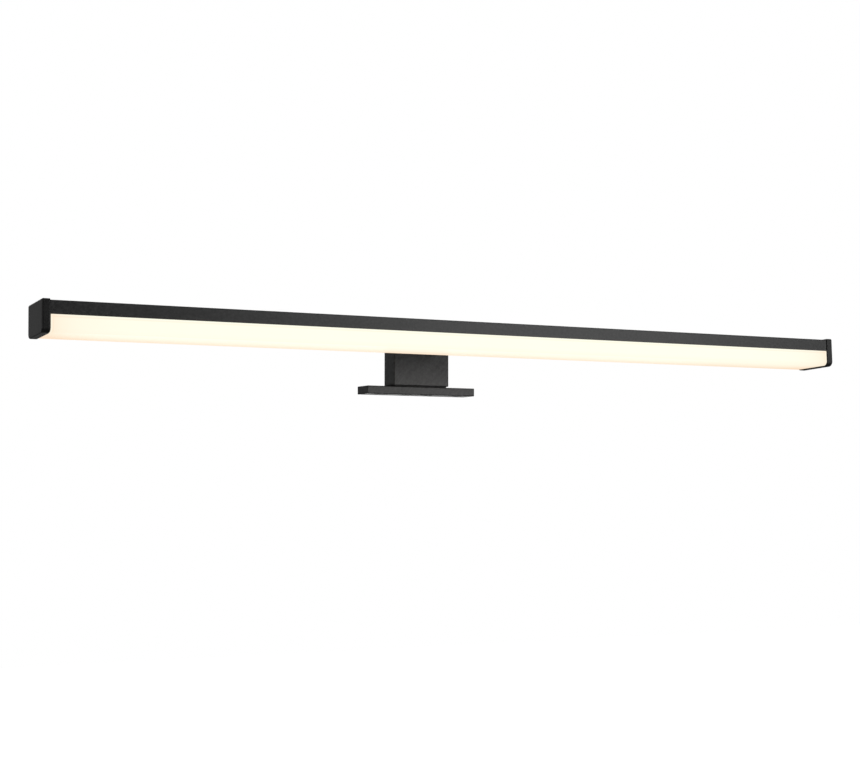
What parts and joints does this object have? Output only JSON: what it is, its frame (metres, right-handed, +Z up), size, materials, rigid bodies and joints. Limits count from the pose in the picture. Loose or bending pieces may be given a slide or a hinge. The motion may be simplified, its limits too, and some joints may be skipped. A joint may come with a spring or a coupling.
{
  "type": "mirror light",
  "caption": "Long, slim LED bar light with an opal lit front and underside, held by an arm from a small driver box on a screw-down foot plate.",
  "frame": {"origin": "centre of the foot plate's underside", "axes": "+X along the bar, -Y towards the lit front, +Z up"},
  "size_m": [0.6, 0.1146, 0.0454],
  "materials": {
    "black_coat": "matt black powder coat",
    "cap_plastic": "matt black",
    "opal": "opal, lit warm white",
    "seal_rubber": "matt",
    "black_plastic": "matt",
    "white_coat": "white",
    "white_board": "white solder mask",
    "led_yellow": "phosphor resin",
    "plain_steel": "zinc plated",
    "black_steel": "blackened",
    "white_plastic": "moulded",
    "red_wire": "wire sleeve",
    "black_wire": "wire sleeve",
    "green_board": "solder mask",
    "ferrite": "sintered",
    "winding": "taped winding",
    "capacitor_sleeve": "shrink sleeve",
    "film_plastic": "cast resin",
    "chip_plastic": "moulded",
    "ceramic": "ceramic tube",
    "green_plastic": "moulded"
  },
  "bodies": {
    "root": {"bar_profile": "black_coat", "diffuser": "opal", "end_cap_left": "cap_plastic", "end_cap_right": "cap_plastic", "end_gasket_left": "seal_rubber", "end_gasket_right": "seal_rubber", "gear_tray": "white_coat", "led_board_left": "white_board", "led_board_right": "white_board", "led_chips_left": "led_yellow", "led_chips_right": "led_yellow", "board_screws": "plain_steel", "joint_connector": "white_plastic", "nut_plates": "plain_steel", "arm": "black_coat", "arm_gasket": "seal_rubber", "flange_screws": "black_steel", "wire_grommet": "seal_rubber", "lead_positive": "red_wire", "lead_negative": "black_wire", "box_housing": "black_coat", "arm_screws": "plain_steel", "arm_washers": "plain_steel", "rear_cover": "black_coat", "cover_gasket": "seal_rubber", "cover_screws": "black_steel", "cable_bushing": "black_plastic", "driver_board": "green_board", "driver_board_screws": "plain_steel", "transformer_core": "ferrite", "transformer_coil": "winding", "smoothing_capacitors": "capacitor_sleeve", "mains_capacitor": "film_plastic", "drum_inductor": "ferrite", "rectifier": "chip_plastic", "control_chip": "chip_plastic", "fuse": "ceramic", "terminal_block": "green_plastic", "terminal_screws": "plain_steel", "foot_plate": "black_coat", "foot_pad": "seal_rubber", "foot_screws": "plain_steel"}
  },
  "joints": []
}
